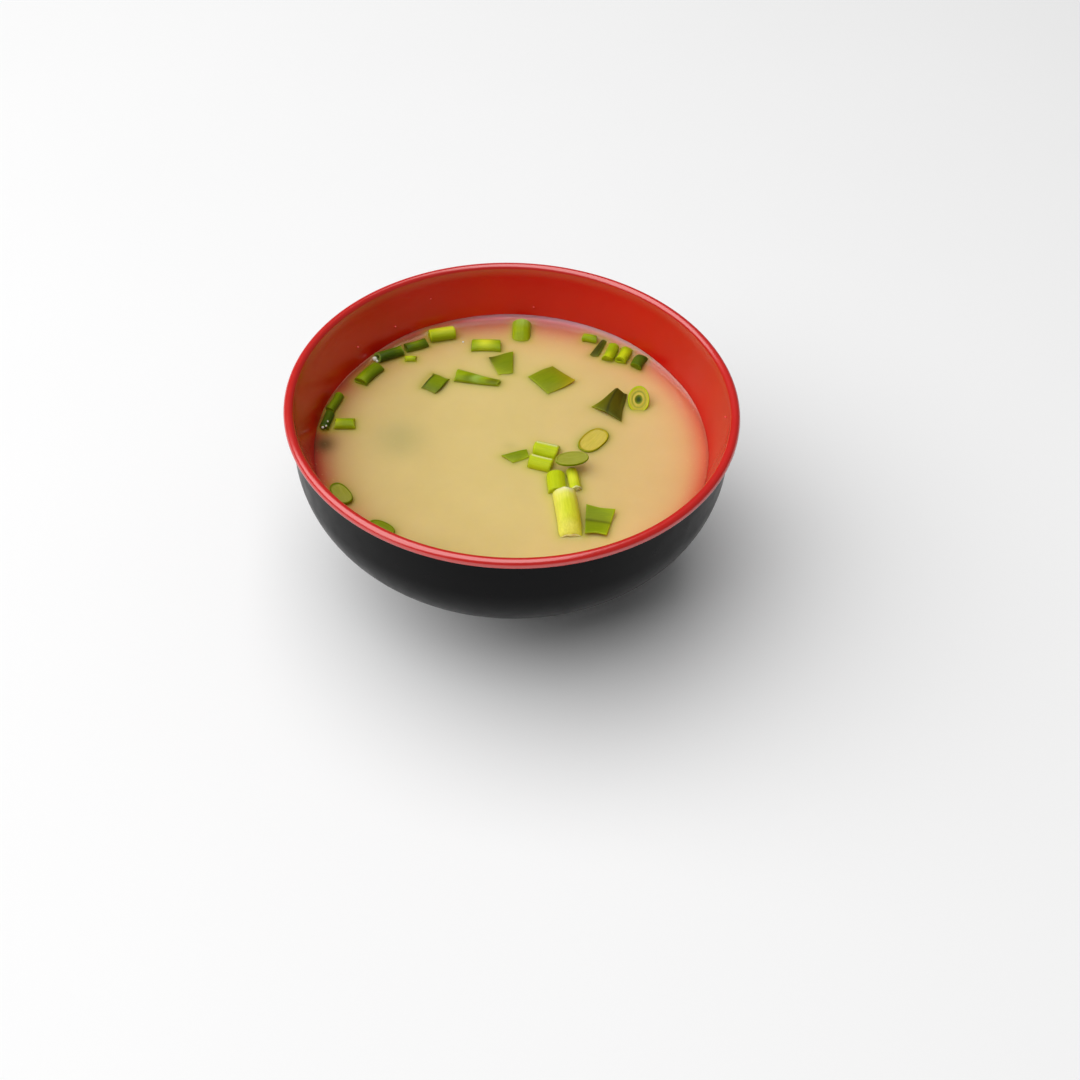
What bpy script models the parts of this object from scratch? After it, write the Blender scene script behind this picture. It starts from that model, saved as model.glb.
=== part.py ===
"""Miso soup with sliced spring onion, in the small two-tone bowl that holds it.

Metres, +Z up. The origin is the centre of the foot ring's underside, so the bowl stands on z = 0.
The front of the bowl faces -Y and +X is to its right.
"""

import math
from collections import namedtuple

import bmesh
import bpy
from mathutils import Matrix, Vector

MM = 0.001
GAP = 0.3 * MM  # clearance between pieces that touch
MERGE = 0.05 * MM
SMOOTH_BELOW = 40  # degrees between faces that are shaded as one surface

# The bowl's outline: a straight wall, a round shoulder, a nearly straight belly and a foot ring.
RIM_RADIUS = 57.0 * MM
BOWL_HEIGHT = 57.1 * MM
LIP_RADIUS = 1.25 * MM  # of the rounded bead along the rim
BODY_RADIUS = 55.7 * MM  # just under the bead
SHOULDER_CENTRE = (31.35 * MM, 44.9 * MM)
SHOULDER_RADIUS = 24.0 * MM
SHOULDER_TURN = -42.0  # degrees below horizontal where the shoulder passes into the belly
BELLY_RADIUS = 110.0 * MM
WALL = 4.4 * MM  # both layers together
FLOOR_HEIGHT = 8.6 * MM
FLOOR_FILLET = 16.0 * MM

# Straight pieces along each arc of the outline, and round the bowl.
LIP_STEPS = 6
OUTER_SHOULDER_STEPS = 6
INNER_SHOULDER_STEPS = 3
BELLY_STEPS = 2
FILLET_STEPS = 2
BOWL_STEPS = 48

# The black shell and the red lining are moulded one in the other.
SHELL_WALL = 2.05 * MM
SHELL_EDGE = 0.55 * MM  # thickness at the shell's upper edge, under the bead
FOOT_JOINT_RADIUS = 26.0 * MM
FOOT_RADIUS = 24.6 * MM
FOOT_WIDTH = 3.6 * MM
FOOT_ROUND = 0.5 * MM
FOOT_RECESS = 3.8 * MM

# The soup fills the bowl to this height.
SOUP_LEVEL = 41.2 * MM

# Spring onion. Every cut piece is given in millimetres and degrees: the place of its middle, with its
# height over the soup, the heading of its axis (0 is +X, 90 is +Y), the rise of that axis, its length
# along the axis, its width across and its depth from top to bottom.
Cut = namedtuple("Cut", "name x y rise heading tilt length width depth shade")

TUBE_WALL = 0.6 * MM
TUBES = (
    Cut("tube_back_left_a", -35.1, 31.9, 1.1, 31, 0, 8.4, 3.3, 3.0, "dark"),
    Cut("tube_back_left_b", -28.2, 36.7, 0.6, 29, 0, 6.8, 3.2, 2.8, "mid"),
    Cut("tube_back_left_c", -29.3, 31.3, 0.2, 5, 0, 3.6, 2.1, 2.0, "bright"),
    Cut("tube_left_a", -39.7, 23.7, 0.6, 60, 0, 8.6, 4.2, 3.0, "mid"),
    Cut("tube_left_b", -47.3, 11.2, 0.7, 75, 0, 7.0, 2.6, 2.6, "mid"),
    Cut("tube_left_c", -48.4, 4.0, 0.8, 83, 0, 6.4, 2.6, 2.6, "dark"),
    Cut("tube_left_d", -43.7, 3.5, 0.5, 5, 0, 5.6, 3.6, 2.8, "bright"),
    Cut("tube_flat", -22.2, 21.8, 0.1, -26, 0, 6.4, 7.2, 1.9, "mid"),
    Cut("tube_back", -9.0, 38.5, 0.3, 2, 0, 8.4, 4.8, 3.0, "pale"),
    Cut("tube_back_right_a", 19.7, 43.4, 0.6, -10, 0, 4.2, 2.8, 2.4, "bright"),
    Cut("tube_back_right_b", 25.6, 37.3, 0.7, 71, 0, 6.6, 3.3, 2.8, "bright"),
    Cut("tube_back_right_c", 29.2, 36.5, 0.7, 69, 0, 6.0, 3.4, 2.8, "bright"),
    Cut("tube_back_right_d", 33.2, 33.8, 0.8, 66, 0, 5.0, 3.6, 2.4, "dark"),
)
TAPERED_TUBE = Cut("tube_tapered", -10.4, 23.9, 0.3, -11, 0, 12.6, 5.2, 2.6, "bright")
TAPER = 0.5  # width of the tapered tube's far end over that of its near end

STALKS = (
    Cut("stalk_back_left", -21.5, 41.6, 1.1, 17, 0, 7.2, 4.2, 3.6, "pale"),
    Cut("stalk_back", 0.5, 45.0, 0.3, 90, 12, 7.2, 5.3, 3.8, "bright"),
    Cut("stalk_middle_a", 8.9, -3.2, 0.4, -15, 0, 6.2, 4.6, 3.8, "pale"),
    Cut("stalk_middle_b", 7.7, -8.1, 0.4, -15, 0, 6.0, 4.4, 3.8, "pale"),
    Cut("stalk_middle_c", 11.9, -15.0, 0.3, 95, 0, 6.6, 4.8, 4.2, "pale"),
    Cut("stalk_middle_d", 16.2, -13.5, 0.2, 100, 0, 7.2, 3.1, 3.2, "pale"),
    Cut("stalk_long", 14.9, -25.9, 0.9, 98, 0, 14.2, 6.0, 5.4, "white"),
)
STALK_ROUND = 0.35 * MM
STALK_ROUND_OVER = 60  # degrees; only the rims of its cut ends turn this sharply
ONION_SIDES = 12

SLICE_WALL = 0.7 * MM
SLICES = (
    Cut("slice_oval_a", 21.0, 1.8, 0.2, 56, 0, 10.2, 6.2, 1.4, "pale"),
    Cut("slice_oval_b", 15.5, -9.0, 3.6, 14, 0, 8.9, 4.9, 1.4, "mid"),
    Cut("slice_front_left", -41.2, -22.3, 0.6, -54, 0, 8.2, 4.4, 1.8, "pale"),
    Cut("slice_front", -30.1, -33.2, 0.4, -28, 0, 7.4, 4.0, 1.6, "mid"),
)
ROUND_SLICE = Cut("slice_round", 32.9, 17.5, 1.2, 90, 30, 8.0, 6.0, 1.8, "pale")
ROUND_SLICE_WALL = 1.7 * MM

# Leaf pieces are four-cornered: each corner's x and y with its height over the soup, then how far the
# middle bulges up. A fold crosses the piece at fold_at of the way from its first edge to the opposite
# one, further along by fold_skew at the edge's end, and is raised by fold_rise.
Leaf = namedtuple("Leaf", "name corners bulge fold_at fold_skew fold_rise shade")

LEAF_THICKNESS = 0.6 * MM
LEAF_CELLS = 4
LEAVES = (
    Leaf("leaf_diamond",
         ((3.0, 26.3, 0.3), (9.6, 30.9, 0.3), (15.9, 25.0, 0.6), (8.9, 19.2, 0.1)),
         0.4, 0.5, 0.0, 0.0, "mid"),
    Leaf("leaf_trapezoid",
         ((-8.0, 33.5, 0.3), (-1.4, 36.0, 0.5), (-1.0, 27.6, 0.1), (-4.8, 26.3, 0.1)),
         0.3, 0.5, 0.0, 0.0, "mid"),
    Leaf("leaf_sliver",
         ((-2.5, -5.6, 0.4), (3.9, -3.1, 0.5), (4.7, -5.9, 0.2), (0.7, -8.0, 0.1)),
         0.2, 0.5, 0.0, 0.0, "mid"),
    Leaf("leaf_back_right",
         ((22.9, 43.7, 0.3), (25.0, 43.0, 0.3), (22.4, 36.0, 0.1), (19.8, 36.6, 0.2)),
         0.3, 0.5, 0.0, 0.0, "deep"),
    Leaf("leaf_folded_dark",
         ((20.6, 14.9, 0.2), (26.3, 21.0, 0.4), (29.9, 20.4, 0.5), (28.3, 9.7, 0.1)),
         0.2, 0.35, -0.3, 1.1, "deep"),
    Leaf("leaf_folded_green",
         ((19.2, -32.0, 0.9), (24.5, -32.3, 0.9), (26.6, -24.0, 1.1), (19.4, -22.7, 1.1)),
         0.1, 0.5, 0.0, -0.7, "mid"),
)

# Colours are linear, and each roughness stands beside its colour.
BLACK_MELAMINE = (0.012, 0.012, 0.012)
BLACK_ROUGHNESS = 0.22
RED_MELAMINE = (0.56, 0.018, 0.014)
RED_ROUGHNESS = 0.18
BROTH = (0.72, 0.54, 0.22)
BROTH_ROUGHNESS = 0.15
ONION_ROUGHNESS = 0.35
ONION_SHADES = {
    "white": (0.78, 0.77, 0.22),
    "pale": (0.60, 0.62, 0.08),
    "bright": (0.34, 0.42, 0.03),
    "mid": (0.19, 0.25, 0.02),
    "dark": (0.08, 0.13, 0.015),
    "deep": (0.055, 0.065, 0.01),
}

parts = bpy.data.collections.new("miso_soup")
cutters = bpy.data.collections.new("soup_cutters")


def clear_scene():
    for leftover in list(bpy.data.objects):
        bpy.data.objects.remove(leftover, do_unlink=True)
    bpy.context.scene.collection.children.link(parts)
    bpy.context.scene.collection.children.link(cutters)


def make_material(name, colour, roughness):
    material = bpy.data.materials.new(name)
    material.use_nodes = True
    shader = material.node_tree.nodes["Principled BSDF"]
    shader.inputs["Base Color"].default_value = (*colour, 1.0)
    shader.inputs["Roughness"].default_value = roughness
    shader.inputs["Metallic"].default_value = 0.0
    return material


def add_object(name, bm, material, collection):
    mesh = bpy.data.meshes.new(name)
    bm.to_mesh(mesh)
    bm.free()
    if material:
        mesh.materials.append(material)
    thing = bpy.data.objects.new(name, mesh)
    collection.objects.link(thing)
    return thing


def smooth(thing):
    thing.data.shade_smooth()
    thing.data.set_sharp_from_angle(angle=math.radians(SMOOTH_BELOW))


# ---------------------------------------------------------------- turned shapes


def arc(centre, radius, start, end, steps):
    """Points (r, z) on an arc, from start to end in degrees, with both ends."""
    angles = [math.radians(start + (end - start) * i / steps) for i in range(steps + 1)]
    return [(centre[0] + radius * math.cos(a), centre[1] + radius * math.sin(a)) for a in angles]


def belly_centre():
    turn = math.radians(SHOULDER_TURN)
    reach = BELLY_RADIUS - SHOULDER_RADIUS
    return (SHOULDER_CENTRE[0] - reach * math.cos(turn), SHOULDER_CENTRE[1] - reach * math.sin(turn))


def wall_line(inset, top, steps=INNER_SHOULDER_STEPS):
    """The bowl's side at a depth of inset in its wall, from the point top down to the belly."""
    radius = SHOULDER_RADIUS - inset
    across = top[0] - SHOULDER_CENTRE[0]
    up = top[1] - SHOULDER_CENTRE[1]
    tangent = math.atan2(up, across) - math.acos(radius / math.hypot(across, up))
    return [top] + arc(SHOULDER_CENTRE, radius, math.degrees(tangent), SHOULDER_TURN, steps)


def floor_line(inset, height):
    """Goes on from wall_line along the belly and round a fillet to the axis at that height."""
    centre = belly_centre()
    radius = BELLY_RADIUS - inset
    fillet = (0.0, height + FLOOR_FILLET)
    drop = centre[1] - fillet[1]
    reach = radius - FLOOR_FILLET
    fillet = (centre[0] + math.sqrt(reach**2 - drop**2), fillet[1])
    turn = -math.degrees(math.asin(drop / reach))
    belly = arc(centre, radius, SHOULDER_TURN, turn, BELLY_STEPS)
    return belly[1:] + arc(fillet, FLOOR_FILLET, turn, -90, FILLET_STEPS)[1:] + [(0.0, height)]


def turn_profile(name, outline, material, rounded=True):
    """Turns an outline (r, z) about Z. It starts and ends on the axis, and its outer side runs down."""
    bm = bmesh.new()
    corners = [bm.verts.new((r, 0.0, z)) for r, z in outline]
    for a, b in zip(corners, corners[1:]):
        bm.edges.new((a, b))
    thing = add_object(name, bm, material, parts)
    screw = thing.modifiers.new("turn", "SCREW")
    screw.axis = "Z"
    screw.steps = BOWL_STEPS
    screw.render_steps = BOWL_STEPS
    screw.use_merge_vertices = True
    screw.merge_threshold = MERGE
    screw.use_smooth_shade = rounded
    return thing


def lip_centre():
    return (RIM_RADIUS - LIP_RADIUS, BOWL_HEIGHT - LIP_RADIUS)


def lining_inside():
    top = (lip_centre()[0] - LIP_RADIUS, lip_centre()[1])
    return wall_line(WALL, top) + floor_line(WALL, FLOOR_HEIGHT)


def make_bowl_lining(material):
    """The red inner layer, whose edge rolls over the shell as a rounded lip."""
    lip = lip_centre()
    ledge = BOWL_HEIGHT - 2 * LIP_RADIUS
    seam_depth = SHELL_WALL + GAP
    seam_top = (BODY_RADIUS - SHELL_EDGE - GAP, ledge)
    inside = list(reversed(lining_inside()))
    bead = arc(lip, LIP_RADIUS, 180, -90, LIP_STEPS)[1:]
    seam_floor = (FLOOR_HEIGHT + FOOT_RECESS + GAP) / 2
    outside = wall_line(seam_depth, seam_top) + floor_line(seam_depth, seam_floor)
    return turn_profile("bowl_lining", inside + bead + outside, material)


def make_bowl_shell(material):
    """The black outer layer with its foot ring."""
    top = BOWL_HEIGHT - 2 * LIP_RADIUS - GAP
    seam_top = (BODY_RADIUS - SHELL_EDGE, top)
    seam_floor = (FLOOR_HEIGHT + FOOT_RECESS - GAP) / 2
    inside = wall_line(SHELL_WALL, seam_top) + floor_line(SHELL_WALL, seam_floor)
    centre = belly_centre()
    foot_turn = -math.degrees(math.acos((FOOT_JOINT_RADIUS - centre[0]) / BELLY_RADIUS))
    belly = arc(centre, BELLY_RADIUS, SHOULDER_TURN, foot_turn, BELLY_STEPS)[1:]
    outside = wall_line(0.0, (BODY_RADIUS, top), OUTER_SHOULDER_STEPS) + belly
    foot_inside = FOOT_RADIUS - FOOT_WIDTH
    foot = [
        (FOOT_RADIUS, belly[-1][1] - (FOOT_JOINT_RADIUS - FOOT_RADIUS)),
        (FOOT_RADIUS, FOOT_ROUND),
        (FOOT_RADIUS - FOOT_ROUND, 0.0),
        (foot_inside + FOOT_ROUND, 0.0),
        (foot_inside, FOOT_ROUND),
        (foot_inside, FOOT_RECESS),
        (0.0, FOOT_RECESS),
    ]
    return turn_profile("bowl_shell", list(reversed(inside)) + outside + foot, material)


def make_soup(material):
    """The broth up to its level, with a pocket round every piece of spring onion."""
    wall = [(r - GAP, z) for r, z in wall_line(WALL, lining_inside()[0])]
    high, low = wall[0], wall[1]
    share = (SOUP_LEVEL - low[1]) / (high[1] - low[1])
    edge = (low[0] + share * (high[0] - low[0]), SOUP_LEVEL)
    floor = floor_line(WALL + GAP, FLOOR_HEIGHT + GAP)
    soup = turn_profile("soup", [(0.0, SOUP_LEVEL), edge] + wall[1:] + floor, material, rounded=False)
    for cutter in cutters.objects:
        cut = soup.modifiers.new("pocket_" + cutter.name, "BOOLEAN")
        cut.operation = "DIFFERENCE"
        cut.solver = "EXACT"
        cut.object = cutter
    return soup


# ---------------------------------------------------------------- spring onion


def place(thing, cut):
    """Lays a piece modelled along Z on the soup, its axis level and turned to its heading."""
    thing.location = Vector((cut.x, cut.y, cut.rise)) * MM + Vector((0, 0, SOUP_LEVEL))
    lie_down = Matrix.Rotation(math.radians(90 - cut.tilt), 4, "Y")
    turn = Matrix.Rotation(math.radians(cut.heading), 4, "Z")
    thing.rotation_euler = (turn @ lie_down).to_euler()


def place_flat(thing, cut):
    """Lays a slice on the soup, its length along the heading and its far end up by the tilt."""
    thing.location = Vector((cut.x, cut.y, cut.rise)) * MM + Vector((0, 0, SOUP_LEVEL))
    lean = Matrix.Rotation(math.radians(-cut.tilt), 4, "Y")
    turn = Matrix.Rotation(math.radians(cut.heading), 4, "Z")
    thing.rotation_euler = (turn @ lean).to_euler()


def oval_cylinder(across_x, across_y, height, capped, taper=1.0):
    """A cylinder along Z with an oval section, narrower by taper at its upper end."""
    bm = bmesh.new()
    bmesh.ops.create_cone(
        bm, cap_ends=capped, segments=ONION_SIDES, radius1=0.5, radius2=0.5, depth=height)
    for vert in bm.verts:
        shrink = taper if vert.co.z > 0 else 1.0
        vert.co.x *= across_x * shrink
        vert.co.y *= across_y * shrink
    return bm


def add_pocket(name, bm):
    cutter = add_object("pocket_" + name, bm, None, cutters)
    cutter.hide_render = True
    cutter.display_type = "WIRE"
    return cutter


def make_hollow(cut, sizes, wall, placing, material, taper=1.0):
    """A cut tube or ring: an open oval cylinder given its wall, and the pocket that it lies in."""
    across_x, across_y, height = sizes
    thing = add_object(cut.name, oval_cylinder(across_x, across_y, height, False, taper), material, parts)
    smooth(thing)
    shell = thing.modifiers.new("wall", "SOLIDIFY")
    shell.thickness = wall
    shell.offset = -1.0
    shell.use_even_offset = True
    placing(thing, cut)
    grown = [size + 2 * GAP for size in sizes]
    placing(add_pocket(cut.name, oval_cylinder(*grown, True, taper)), cut)
    return thing


def make_tube(cut, material, taper=1.0):
    sizes = (cut.depth * MM, cut.width * MM, cut.length * MM)
    return make_hollow(cut, sizes, TUBE_WALL, place, material, taper)


def make_slice(cut, wall, material):
    sizes = (cut.length * MM, cut.width * MM, cut.depth * MM)
    return make_hollow(cut, sizes, wall, place_flat, material)


def make_stalk(cut, material):
    """A solid length of the pale stalk, with rounded ends."""
    sizes = (cut.depth * MM, cut.width * MM, cut.length * MM)
    thing = add_object(cut.name, oval_cylinder(*sizes, True), material, parts)
    smooth(thing)
    bevel = thing.modifiers.new("round", "BEVEL")
    bevel.width = STALK_ROUND
    bevel.segments = 1
    bevel.limit_method = "ANGLE"
    bevel.angle_limit = math.radians(STALK_ROUND_OVER)
    place(thing, cut)
    grown = [size + 2 * GAP for size in sizes]
    place(add_pocket(cut.name, oval_cylinder(*grown, True)), cut)
    return thing


def leaf_patch(leaf, grow):
    """An open four-cornered patch, bulging in its middle and folded along a line, grown at its edges."""
    corners = [Vector(c) * MM + Vector((0, 0, SOUP_LEVEL)) for c in leaf.corners]
    middle = sum(corners, Vector()) / 4
    outwards = math.sqrt(2) * grow  # a square's edges move by grow when its corners move this far
    corners = [c + (c - middle).normalized() * outwards for c in corners]
    bm = bmesh.new()
    bmesh.ops.create_grid(bm, x_segments=LEAF_CELLS, y_segments=LEAF_CELLS, size=0.5)
    for vert in bm.verts:
        u, v = vert.co.x + 0.5, vert.co.y + 0.5
        first_edge = corners[0].lerp(corners[1], v)
        last_edge = corners[3].lerp(corners[2], v)
        point = first_edge.lerp(last_edge, u)
        dome = 4 * u * (1 - u) * 4 * v * (1 - v)  # 1 in the middle and 0 along the edges
        fold = leaf.fold_at + leaf.fold_skew * (v - 0.5)
        ridge = max(0.0, 1 - 2 * abs(u - fold))
        rise = (leaf.bulge * dome + leaf.fold_rise * ridge) * MM
        vert.co = point + Vector((0, 0, rise))
    bmesh.ops.recalc_face_normals(bm, faces=bm.faces)
    return bm


def make_leaf(leaf, material):
    thing = add_object(leaf.name, leaf_patch(leaf, 0.0), material, parts)
    smooth(thing)
    pocket = add_pocket(leaf.name, leaf_patch(leaf, GAP))
    for sheet, thickness in ((thing, LEAF_THICKNESS), (pocket, LEAF_THICKNESS + 2 * GAP)):
        solid = sheet.modifiers.new("thickness", "SOLIDIFY")
        solid.thickness = thickness
        solid.offset = 0.0
    return thing


def make_onion():
    shades = {}
    for name, colour in ONION_SHADES.items():
        shades[name] = make_material("onion_" + name, colour, ONION_ROUGHNESS)
    for cut in TUBES:
        make_tube(cut, shades[cut.shade])
    make_tube(TAPERED_TUBE, shades[TAPERED_TUBE.shade], TAPER)
    for cut in STALKS:
        make_stalk(cut, shades[cut.shade])
    for cut in SLICES:
        make_slice(cut, SLICE_WALL, shades[cut.shade])
    make_slice(ROUND_SLICE, ROUND_SLICE_WALL, shades[ROUND_SLICE.shade])
    for leaf in LEAVES:
        make_leaf(leaf, shades[leaf.shade])


clear_scene()
make_bowl_shell(make_material("black_melamine", BLACK_MELAMINE, BLACK_ROUGHNESS))
make_bowl_lining(make_material("red_melamine", RED_MELAMINE, RED_ROUGHNESS))
make_onion()
make_soup(make_material("broth", BROTH, BROTH_ROUGHNESS))
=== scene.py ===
"""The looks of a small bowl of miso soup with cut spring onion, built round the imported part.

Metres, in the part's own frame: the bowl stands on z = 0, its front faces -Y and +X is to its right.
Every piece of the bowl, the soup and the onion is a finer mesh that stands for its CAD node.
"""

import math
import random
from collections import namedtuple

import bpy
import numpy as np
from mathutils import Matrix, Vector
from mathutils.bvhtree import BVHTree


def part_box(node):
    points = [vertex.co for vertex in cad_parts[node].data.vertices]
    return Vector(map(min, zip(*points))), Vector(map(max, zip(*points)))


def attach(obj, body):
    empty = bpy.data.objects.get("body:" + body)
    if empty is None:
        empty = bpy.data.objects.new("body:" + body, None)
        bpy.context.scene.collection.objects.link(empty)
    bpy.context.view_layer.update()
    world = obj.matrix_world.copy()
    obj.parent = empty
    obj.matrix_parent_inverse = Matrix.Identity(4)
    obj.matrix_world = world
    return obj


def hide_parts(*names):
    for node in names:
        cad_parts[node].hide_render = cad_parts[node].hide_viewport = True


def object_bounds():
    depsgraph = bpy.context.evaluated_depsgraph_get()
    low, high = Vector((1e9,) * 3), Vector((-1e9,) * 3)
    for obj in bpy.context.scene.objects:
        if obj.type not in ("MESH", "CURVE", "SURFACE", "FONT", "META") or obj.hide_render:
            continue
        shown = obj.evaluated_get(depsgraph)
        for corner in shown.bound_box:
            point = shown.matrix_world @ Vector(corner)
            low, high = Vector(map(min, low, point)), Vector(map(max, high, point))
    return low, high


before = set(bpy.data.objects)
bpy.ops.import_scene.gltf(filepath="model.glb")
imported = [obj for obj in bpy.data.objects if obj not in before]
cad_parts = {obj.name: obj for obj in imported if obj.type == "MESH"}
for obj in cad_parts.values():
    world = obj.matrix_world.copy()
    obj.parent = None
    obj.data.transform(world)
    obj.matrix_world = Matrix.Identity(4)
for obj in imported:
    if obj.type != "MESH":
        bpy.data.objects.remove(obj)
cad_low, cad_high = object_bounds()

MM = 0.001
TURN = 2 * math.pi

# The bowl: the frame gives its outer sizes, and these arcs are the ones that its solids have.
RIM_RADIUS = cad_high.x
BOWL_HEIGHT = cad_high.z
LIP_RADIUS = 1.25 * MM
BODY_RADIUS = RIM_RADIUS - 1.3 * MM
SHOULDER_CENTRE = (31.35 * MM, 44.9 * MM)
SHOULDER_RADIUS = 24.0 * MM
SHOULDER_TURN = -42.0
BELLY_RADIUS = 110.0 * MM
WALL = 4.4 * MM
FLOOR_HEIGHT = 8.6 * MM
FLOOR_FILLET = 16.0 * MM
SHELL_WALL = 2.05 * MM
SHELL_EDGE = 0.55 * MM
SEAM = 0.1 * MM  # the hairline between the red lining and the black shell
FOOT_JOINT_RADIUS = 26.0 * MM
FOOT_RADIUS = 24.6 * MM
FOOT_WIDTH = 3.6 * MM
FOOT_ROUND = 0.5 * MM
FOOT_RECESS = 3.8 * MM
BOWL_SIDES = 288

# The soup.
SOUP_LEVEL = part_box("soup")[1].z
INTO_WALL = 0.25 * MM  # how far the soup reaches into the lining, so that no gap shows
MENISCUS_REACH = 1.35 * MM
ONION_CLIMB = 0.15 * MM  # how far the broth climbs a piece of onion
ONION_CLIMB_REACH = 0.5 * MM
WET_EDGE = 0.35 * MM  # how far over the broth a piece of onion still takes its colour
SOUP_SIDES = 560
SOUP_STEP = 0.39 * MM


def srgb(red, green, blue):
    """A linear colour from display values of 0 to 255."""
    values = [channel / 255 for channel in (red, green, blue)]
    return np.array([v / 12.92 if v <= 0.04045 else ((v + 0.055) / 1.055) ** 2.4 for v in values])


RED = srgb(206, 19, 10)
WALL_IOR = 1.38
LIP_IOR = 1.60
BLACK = srgb(11, 11, 12)
BROTH = srgb(220, 199, 132)
# Darker towards the left of the bowl: painted shade of the left wall.
BROTH_LEFT_SHADED = srgb(212, 188, 126)
BROTH_RIGHT = srgb(221, 187, 131)
GREENS = {
    "white": srgb(240, 236, 190),
    "cream": srgb(226, 226, 92),
    "lemon": srgb(210, 216, 52),
    "lime": srgb(186, 200, 22),
    "fresh": srgb(146, 166, 12),
    "leaf": srgb(118, 138, 6),
    "reed": srgb(158, 160, 58),
    "olive": srgb(108, 114, 2),
    "moss": srgb(80, 102, 12),
    "forest": srgb(52, 76, 12),
    "bark": srgb(90, 82, 8),
    "night": srgb(36, 38, 4),
    "sea": srgb(156, 182, 76),
    "gold": srgb(170, 148, 14),
    "broth": srgb(206, 186, 84),
    "glow": srgb(196, 184, 56),
}


# ---------------------------------------------------------------- meshes


def grid_faces(rows, columns, close_rows, close_columns):
    """Quads of a grid of points numbered row by row."""
    faces = []
    for i in range(rows if close_rows else rows - 1):
        here, after = i * columns, (i + 1) % rows * columns
        for j in range(columns if close_columns else columns - 1):
            k = (j + 1) % columns
            faces.append((here + j, here + k, after + k, after + j))
    return faces


def add_piece(name, points, faces, material, node, tint=None, grain=None, sharp=60):
    """Makes a piece from its points and faces, lets it stand for a CAD node and ride on the bowl."""
    mesh = bpy.data.meshes.new(name)
    mesh.from_pydata([tuple(p) for p in points], [], faces)
    mesh.materials.append(material)
    mesh.shade_smooth()
    mesh.set_sharp_from_angle(angle=math.radians(sharp))
    if tint is not None:
        rgba = np.concatenate([tint, np.ones((len(tint), 1))], axis=1)
        mesh.attributes.new("tint", "FLOAT_COLOR", "POINT").data.foreach_set("color", rgba.ravel())
    if grain is not None:
        mesh.attributes.new("grain", "FLOAT_VECTOR", "POINT").data.foreach_set("vector", grain.ravel())
    piece = bpy.data.objects.new(name, mesh)
    bpy.context.scene.collection.objects.link(piece)
    if node:
        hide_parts(node)
    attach(piece, "root")


def capped_grid(points):
    """Points and faces of a closed grid (rows, columns, 3) whose first and last rows are one point each."""
    rows, columns = points.shape[:2]
    flat = points[1:-1].reshape(-1, 3)
    first, last = len(flat), len(flat) + 1
    faces = grid_faces(rows - 2, columns, False, True)
    foot = (rows - 3) * columns
    for j in range(columns):
        k = (j + 1) % columns
        faces.append((first, k, j))
        faces.append((last, foot + j, foot + k))
    return np.concatenate([flat, points[:1, 0], points[-1:, 0]]), faces


def capped_values(values):
    """Values (rows, columns, n) in the order of capped_grid's points."""
    return np.concatenate([values[1:-1].reshape(-1, values.shape[2]), values[:1, 0], values[-1:, 0]])


def turned(outline, sides):
    """Points (rows, sides, 3) of an outline (r, z) turned about Z."""
    around = np.linspace(0, TURN, sides, endpoint=False)
    r = np.array([p[0] for p in outline])[:, None]
    z = np.array([p[1] for p in outline])[:, None]
    return np.stack([r * np.cos(around), r * np.sin(around), z + 0 * around], axis=2)


def mix(first, second, share):
    return first + (second - first) * np.asarray(share)[..., None]


# ---------------------------------------------------------------- materials


def new_material(name):
    material = bpy.data.materials.new(name)
    material.use_nodes = True
    return material, material.node_tree, material.node_tree.nodes["Principled BSDF"]


def add_node(tree, kind, inputs=None, **settings):
    """A node with its settings, and its inputs linked to sockets or set to values."""
    node = tree.nodes.new(kind)
    for key, value in settings.items():
        setattr(node, key, value)
    for key, value in (inputs or {}).items():
        if isinstance(value, bpy.types.NodeSocket):
            tree.links.new(value, node.inputs[key])
        else:
            node.inputs[key].default_value = value
    return node


def noise(tree, vector, scale, detail=2.0, roughness=0.5):
    inputs = {"Vector": vector, "Scale": scale, "Detail": detail, "Roughness": roughness}
    return add_node(tree, "ShaderNodeTexNoise", inputs).outputs["Fac"]


def remap(tree, value, low, high, to_low, to_high):
    inputs = {"Value": value, "From Min": low, "From Max": high, "To Min": to_low, "To Max": to_high}
    return add_node(tree, "ShaderNodeMapRange", inputs).outputs["Result"]


def mix_colour(tree, factor, first, second, blend="MIX"):
    node = add_node(tree, "ShaderNodeMix", data_type="RGBA", blend_type=blend)
    for index, value in ((0, factor), (6, first), (7, second)):
        if isinstance(value, bpy.types.NodeSocket):
            tree.links.new(value, node.inputs[index])
        else:
            node.inputs[index].default_value = value
    return node.outputs[2]


def colour(values):
    return (*[float(v) for v in values], 1.0)


def add_bump(tree, shader, height, strength, distance):
    inputs = {"Height": height, "Strength": strength, "Distance": distance}
    tree.links.new(add_node(tree, "ShaderNodeBump", inputs).outputs["Normal"], shader.inputs["Normal"])


def melamine(name, base, spread, roughness, specular, ior=1.5):
    """Moulded melamine: nearly even colour, faint specks and a soft orange-peel gloss."""
    material, tree, shader = new_material(name)
    place = add_node(tree, "ShaderNodeNewGeometry").outputs["Position"]
    cloud = remap(tree, noise(tree, place, 60.0, 3.0), 0.35, 0.65, 0.0, 1.0)
    even = mix_colour(tree, cloud, colour(base * (1 - spread)), colour(base * (1 + spread)))
    speck = remap(tree, noise(tree, place, 900.0, 1.0), 0.70, 0.78, 0.0, 0.35)
    speckled = mix_colour(tree, speck, even, colour(base * 0.8 + 0.01))
    tree.links.new(speckled, shader.inputs["Base Color"])
    gloss = remap(tree, noise(tree, place, 240.0, 4.0), 0.3, 0.7, roughness * 0.85, roughness * 1.15)
    tree.links.new(gloss, shader.inputs["Roughness"])
    shader.inputs["IOR"].default_value = ior
    shader.inputs["Specular IOR Level"].default_value = specular
    peel = noise(tree, place, 700.0, 2.0)
    add_bump(tree, shader, peel, 0.06, 0.05 * MM)
    return material


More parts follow.
